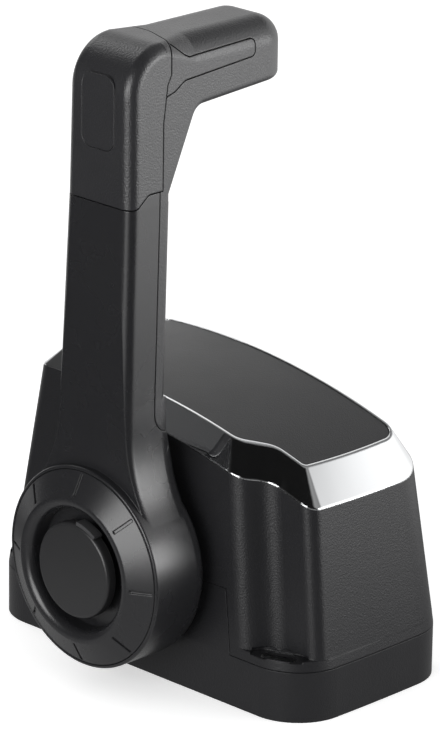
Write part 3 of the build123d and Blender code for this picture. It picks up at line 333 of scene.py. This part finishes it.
def axes_of(tree, vector):
    """The three sockets of a vector."""
    split = tree.nodes.new("ShaderNodeSeparateXYZ")
    tree.links.new(vector, split.inputs["Vector"])
    return split.outputs["X"], split.outputs["Y"], split.outputs["Z"]


def mixed(tree, share, first, second):
    """The first shader where the share is 0, and the second where it is 1."""
    mix = tree.nodes.new("ShaderNodeMixShader")
    tree.links.new(share, mix.inputs["Fac"])
    tree.links.new(first, mix.inputs[1])
    tree.links.new(second, mix.inputs[2])
    return mix.outputs["Shader"]


def glow(tree, kind, strength, color=None):
    """A background or emission shader, white unless a colour is given."""
    node = tree.nodes.new(kind)
    node.inputs["Color"].default_value = (1, 1, 1, 1)
    if color is not None:
        tree.links.new(color, node.inputs["Color"])
    feed(tree, node.inputs["Strength"], strength)
    return node.outputs[0]


def set_world():
    """White behind the object and plain light on it, in a studio that polished faces mirror."""
    world = bpy.data.worlds.new("studio")
    bpy.context.scene.world = world
    world.use_nodes = True
    tree = world.node_tree
    tree.nodes.clear()
    direction = tree.nodes.new("ShaderNodeTexCoord").outputs["Generated"]
    x, y, z = axes_of(tree, direction)
    height = level_ramp(tree, z, 0, 1, ROOM_UPWARD)
    mirrored = glow(tree, "ShaderNodeBackground", height, level_round(tree, x, y, ROOM_ROUND))
    plain = glow(tree, "ShaderNodeBackground", ROOM_LEVEL)
    seen = glow(tree, "ShaderNodeBackground", 1.0)
    path = tree.nodes.new("ShaderNodeLightPath")
    lit = mixed(tree, path.outputs["Is Glossy Ray"], plain, mirrored)
    out = tree.nodes.new("ShaderNodeOutputWorld")
    tree.links.new(mixed(tree, path.outputs["Is Camera Ray"], lit, seen), out.inputs["Surface"])


def seen_floor(tree, shader, x, y, camera_ray):
    """The lit floor with its shadow, made whiter for the camera except under the base."""
    beside = math_node(tree, "GREATER_THAN", math_node(tree, "ABSOLUTE", x), UNDER_BASE[0])
    beyond = math_node(tree, "GREATER_THAN", math_node(tree, "ABSOLUTE", y), UNDER_BASE[1])
    outside = math_node(tree, "MAXIMUM", beside, beyond)
    share = math_node(tree, "MULTIPLY", outside, camera_ray)
    lift = glow(tree, "ShaderNodeEmission", math_node(tree, "MULTIPLY", share, FLOOR_LIFT))
    lit = tree.nodes.new("ShaderNodeAddShader")
    tree.links.new(shader.outputs["BSDF"], lit.inputs[0])
    tree.links.new(lift, lit.inputs[1])
    return lit.outputs["Shader"]


def floor_painted_glow(tree, x, y):
    """The floor as polished faces mirror it: a painted glow for glossy rays, with painted reflections of
    bright and dark studio areas and painted shade near the object.
    """
    x_squared = math_node(tree, "MULTIPLY", x, x)
    y_squared = math_node(tree, "MULTIPLY", y, y)
    distance = math_node(tree, "SQRT", math_node(tree, "ADD", x_squared, y_squared))
    # Painted shade: reflections of the floor dim near the object, in place of its contact shadow
    painted_near_shade = level_ramp(tree, distance, 0, 1, PAINTED_FLOOR_SHADE_NEAR)
    painted_shade_fade = level_ramp(tree, distance, 0, 1, PAINTED_FLOOR_SHADE_FAR)
    painted_reflection_round = math_node(tree, "MULTIPLY", painted_shade_fade, level_round(tree, x, y, PAINTED_FLOOR_REFLECTION))
    return glow(tree, "ShaderNodeEmission", math_node(tree, "MAXIMUM", painted_near_shade, painted_reflection_round))


def set_floor():
    """A white floor that holds the object's soft shadow."""
    bpy.ops.mesh.primitive_plane_add(size=FLOOR_SIZE)
    floor = bpy.context.object
    floor.name = "floor"
    material, tree, shader = new_material("floor")
    shader.inputs["Base Color"].default_value = (*FLOOR_COLOR, 1)
    shader.inputs["Roughness"].default_value = 1.0
    shader.inputs["Specular IOR Level"].default_value = 0.0
    place = tree.nodes.new("ShaderNodeNewGeometry").outputs["Position"]
    x, y, _ = axes_of(tree, place)
    path = tree.nodes.new("ShaderNodeLightPath")
    lit = seen_floor(tree, shader, x, y, path.outputs["Is Camera Ray"])
    # Glossy rays see the floor's painted reflection glow instead of its lit surface
    whole = mixed(tree, path.outputs["Is Glossy Ray"], lit, floor_painted_glow(tree, x, y))
    tree.links.new(whole, tree.nodes["Material Output"].inputs["Surface"])
    floor.data.materials.append(material)


materials = make_materials()
dress_nodes(materials)
wind_button_spring(materials["steel"])
set_camera()
set_world()
set_floor()
for lamp_name, lamp in LAMPS.items():
    add_lamp(lamp_name, *lamp)
bpy.context.scene.view_settings.view_transform = "Standard"
